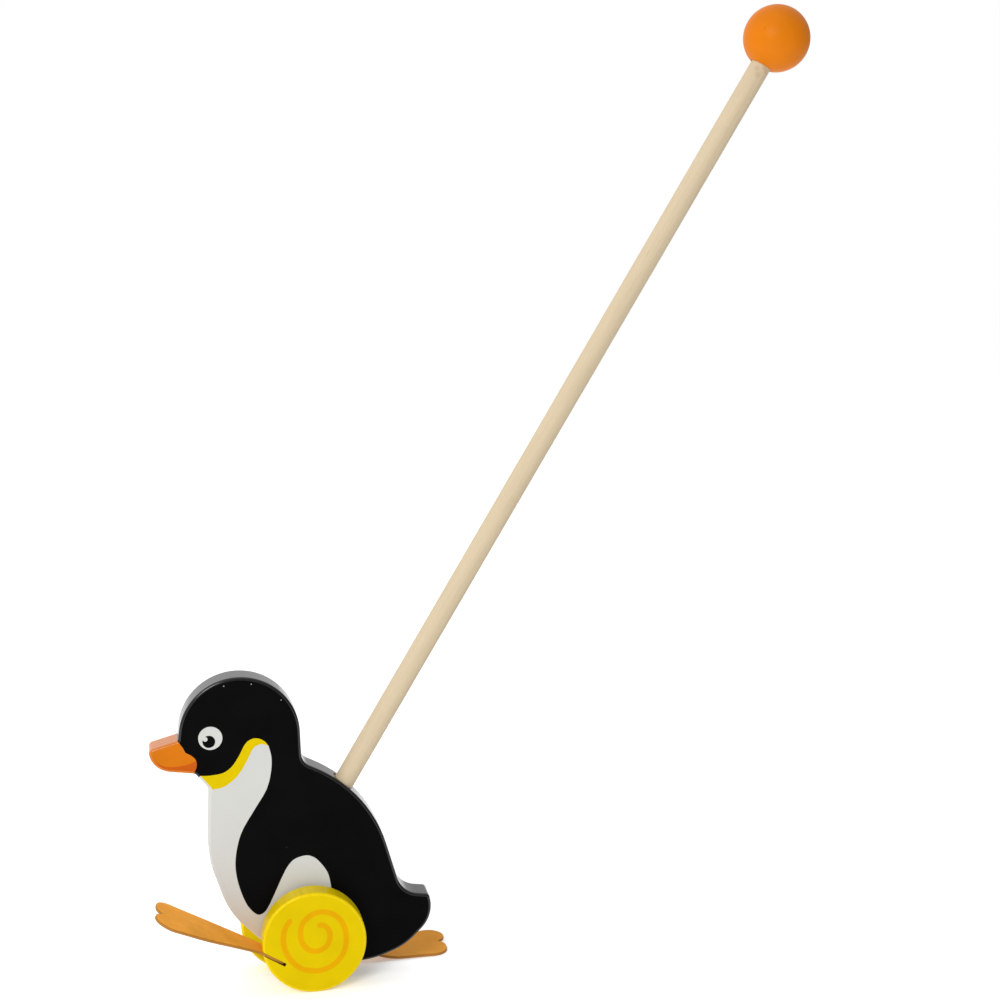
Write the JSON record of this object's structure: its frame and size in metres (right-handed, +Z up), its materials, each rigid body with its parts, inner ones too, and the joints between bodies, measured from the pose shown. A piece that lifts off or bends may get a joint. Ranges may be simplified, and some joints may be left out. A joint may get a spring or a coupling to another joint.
{
  "type": "push-along toy",
  "caption": "Wooden push-along penguin on off-centre wheels with slapping leather feet and a long round stick ending in a ball.",
  "frame": {"origin": "on the floor, straight below the middle of the axle", "axes": "+Z up, the penguin looks along -X, its left side is -Y, the axle lies along Y"},
  "size_m": [0.3918, 0.0961, 0.5536],
  "materials": {
    "painted_body": "satin lacquer, printed",
    "yellow_wheel": "satin lacquer",
    "bare_wood": "bare, sanded",
    "orange_leather": "matte",
    "orange_ball": "gloss lacquer"
  },
  "bodies": {
    "penguin": {"body": "painted_body", "stick": "bare_wood", "ball": "orange_ball"},
    "wheels": {"axle": "bare_wood", "wheel_left": "yellow_wheel", "wheel_right": "yellow_wheel", "foot_left_root": "orange_leather", "foot_right_root": "orange_leather"},
    "left_foot": {"foot_left": "orange_leather"},
    "right_foot": {"foot_right": "orange_leather"}
  },
  "joints": [
    {"name": "wheels_turn", "type": "hinge", "parent": "penguin", "child": "wheels", "pos_m": [0, 0, 0.03], "axis": [0, 1, 0], "continuous": true},
    {"name": "left_foot_bend", "type": "hinge", "parent": "wheels", "child": "left_foot", "pos_m": [-0.02618, -0.018, 0.02699], "axis": [0, 1, 0], "range_deg": [-90, 40], "stiffness_Nm_per_rad": 0.02},
    {"name": "right_foot_bend", "type": "hinge", "parent": "wheels", "child": "right_foot", "pos_m": [0.0248, 0.018, 0.02033], "axis": [0, 1, 0], "range_deg": [-90, 40], "stiffness_Nm_per_rad": 0.02}
  ]
}
